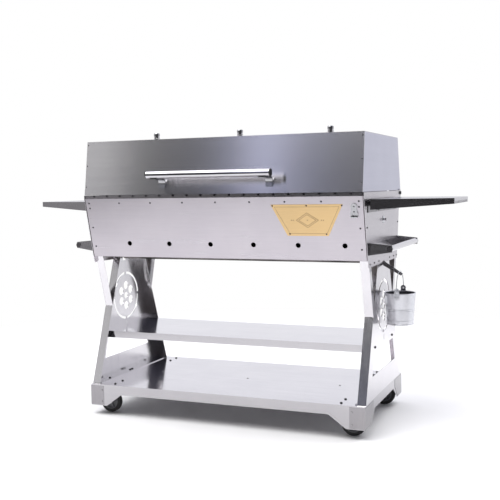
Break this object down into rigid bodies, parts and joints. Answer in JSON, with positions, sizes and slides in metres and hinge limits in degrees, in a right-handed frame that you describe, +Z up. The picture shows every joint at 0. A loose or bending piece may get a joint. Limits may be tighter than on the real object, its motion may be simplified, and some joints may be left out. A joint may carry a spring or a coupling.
{
  "type": "rotisserie spit roaster",
  "caption": "Stainless charcoal rotisserie: long notched firebox with hinged trapezoid hood and spit, lift-off side shelves and ash bucket, on a wheeled two-shelf stand.",
  "frame": {"origin": "on the floor, in the middle of the whole object's box", "axes": "+X along the spit, towards the bucket; +Y from the hood's handle to its hinge; +Z up"},
  "size_m": [1.886, 0.743, 1.245],
  "materials": {
    "stainless": "brushed",
    "stainless_hood": "brushed, vertical grain",
    "stainless_dark": "satin",
    "polished": "polished",
    "zinc": "galvanised",
    "brass_plate": "satin",
    "fastener": "plain",
    "cast": "rough",
    "black_plastic": "matte",
    "red_plastic": "gloss",
    "rubber": "matte",
    "hub_grey": "matte"
  },
  "bodies": {
    "roaster": {"base_deck": "stainless", "corner_plates": "stainless_dark", "end_frame_left": "stainless", "end_frame_right": "stainless", "lower_shelf": "stainless", "frame_bolts": "fastener", "firebox_front": "stainless", "firebox_back": "stainless", "firebox_end_left": "stainless", "firebox_end_right": "stainless", "firebox_floor": "stainless_dark", "notched_rims": "stainless_dark", "firebox_rivets": "fastener", "name_plate": "brass_plate", "bottle_opener": "stainless_dark", "charcoal_grate": "cast", "drain_spout": "stainless_dark", "push_handle_frames": "stainless_dark", "push_handle_tubes": "stainless", "push_handle_plugs": "stainless_dark", "shelf_rails": "stainless_dark", "spit_bearings": "zinc", "motor_bracket": "stainless", "motor_housing": "black_plastic", "power_inlet": "black_plastic", "hinge_bolts": "fastener", "caster_plates": "zinc"},
    "hood": {"hood_cover": "stainless_hood", "hood_ends": "stainless_hood", "hood_rivets": "fastener", "hood_handle_tube": "polished", "hood_handle_brackets": "stainless", "hood_handle_plugs": "black_plastic", "vent_collars": "stainless", "vent_caps": "stainless_dark"},
    "spit": {"spit_rod": "polished", "drive_socket": "brass_plate"},
    "fork_left": {"fork_left": "stainless_dark", "thumb_screw_left": "zinc"},
    "fork_right": {"fork_right": "stainless_dark", "thumb_screw_right": "zinc"},
    "switch": {"motor_switch": "red_plastic"},
    "side_shelf_left": {"side_shelf_left": "stainless"},
    "side_shelf_right": {"side_shelf_right": "stainless"},
    "bail": {"bucket_bail": "zinc"},
    "bucket": {"bucket": "zinc"},
    "caster_fl": {"caster_fork_fl": "zinc"},
    "wheel_fl": {"tyre_fl": "rubber", "hub_fl": "hub_grey"},
    "caster_fr": {"caster_fork_fr": "zinc"},
    "wheel_fr": {"tyre_fr": "rubber", "hub_fr": "hub_grey"},
    "caster_rl": {"caster_fork_rl": "zinc"},
    "wheel_rl": {"tyre_rl": "rubber", "hub_rl": "hub_grey"},
    "caster_rr": {"caster_fork_rr": "zinc"},
    "wheel_rr": {"tyre_rr": "rubber", "hub_rr": "hub_grey"}
  },
  "joints": [
    {"name": "hood_hinge", "type": "hinge", "parent": "roaster", "child": "hood", "pos_m": [0, 0.3465, 0.958], "axis": [-1, 0, 0], "range_deg": [0, 95]},
    {"name": "spit_spin", "type": "hinge", "parent": "roaster", "child": "spit", "pos_m": [0, 0.0285, 0.852], "axis": [1, 0, 0], "continuous": true},
    {"name": "fork_left_slide", "type": "slide", "parent": "spit", "child": "fork_left", "axis": [1, 0, 0], "range_m": [-0.26, 0.12]},
    {"name": "fork_right_slide", "type": "slide", "parent": "spit", "child": "fork_right", "axis": [1, 0, 0], "range_m": [-0.12, 0.26]},
    {"name": "switch_rock", "type": "hinge", "parent": "roaster", "child": "switch", "pos_m": [-0.741, 0.0285, 0.875], "axis": [0, 1, 0], "range_deg": [0, 12]},
    {"name": "shelf_left_lift", "type": "slide", "parent": "roaster", "child": "side_shelf_left", "axis": [0, 0, 1], "range_m": [0, 0.06]},
    {"name": "shelf_right_lift", "type": "slide", "parent": "roaster", "child": "side_shelf_right", "axis": [0, 0, 1], "range_m": [0, 0.06]},
    {"name": "bail_swing", "type": "hinge", "parent": "roaster", "child": "bail", "pos_m": [0.694, 0.0255, 0.638], "axis": [0, -1, 0], "range_deg": [-2, 40]},
    {"name": "bucket_tilt", "type": "hinge", "parent": "bail", "child": "bucket", "pos_m": [0.694, 0.0255, 0.562], "axis": [0, -1, 0], "range_deg": [-1, 35]},
    {"name": "caster_fl_swivel", "type": "hinge", "parent": "roaster", "child": "caster_fl", "pos_m": [-0.552, -0.2145, 0.1], "axis": [0, 0, 1], "continuous": true},
    {"name": "wheel_fl_spin", "type": "hinge", "parent": "caster_fl", "child": "wheel_fl", "pos_m": [-0.56, -0.2145, 0.05], "axis": [0, 1, 0], "continuous": true},
    {"name": "caster_fr_swivel", "type": "hinge", "parent": "roaster", "child": "caster_fr", "pos_m": [0.552, -0.2145, 0.1], "axis": [0, 0, 1], "continuous": true},
    {"name": "wheel_fr_spin", "type": "hinge", "parent": "caster_fr", "child": "wheel_fr", "pos_m": [0.56, -0.2145, 0.05], "axis": [0, 1, 0], "continuous": true},
    {"name": "caster_rl_swivel", "type": "hinge", "parent": "roaster", "child": "caster_rl", "pos_m": [-0.552, 0.3015, 0.1], "axis": [0, 0, 1], "continuous": true},
    {"name": "wheel_rl_spin", "type": "hinge", "parent": "caster_rl", "child": "wheel_rl", "pos_m": [-0.56, 0.3015, 0.05], "axis": [0, 1, 0], "continuous": true},
    {"name": "caster_rr_swivel", "type": "hinge", "parent": "roaster", "child": "caster_rr", "pos_m": [0.552, 0.3015, 0.1], "axis": [0, 0, 1], "continuous": true},
    {"name": "wheel_rr_spin", "type": "hinge", "parent": "caster_rr", "child": "wheel_rr", "pos_m": [0.56, 0.3015, 0.05], "axis": [0, 1, 0], "continuous": true}
  ]
}
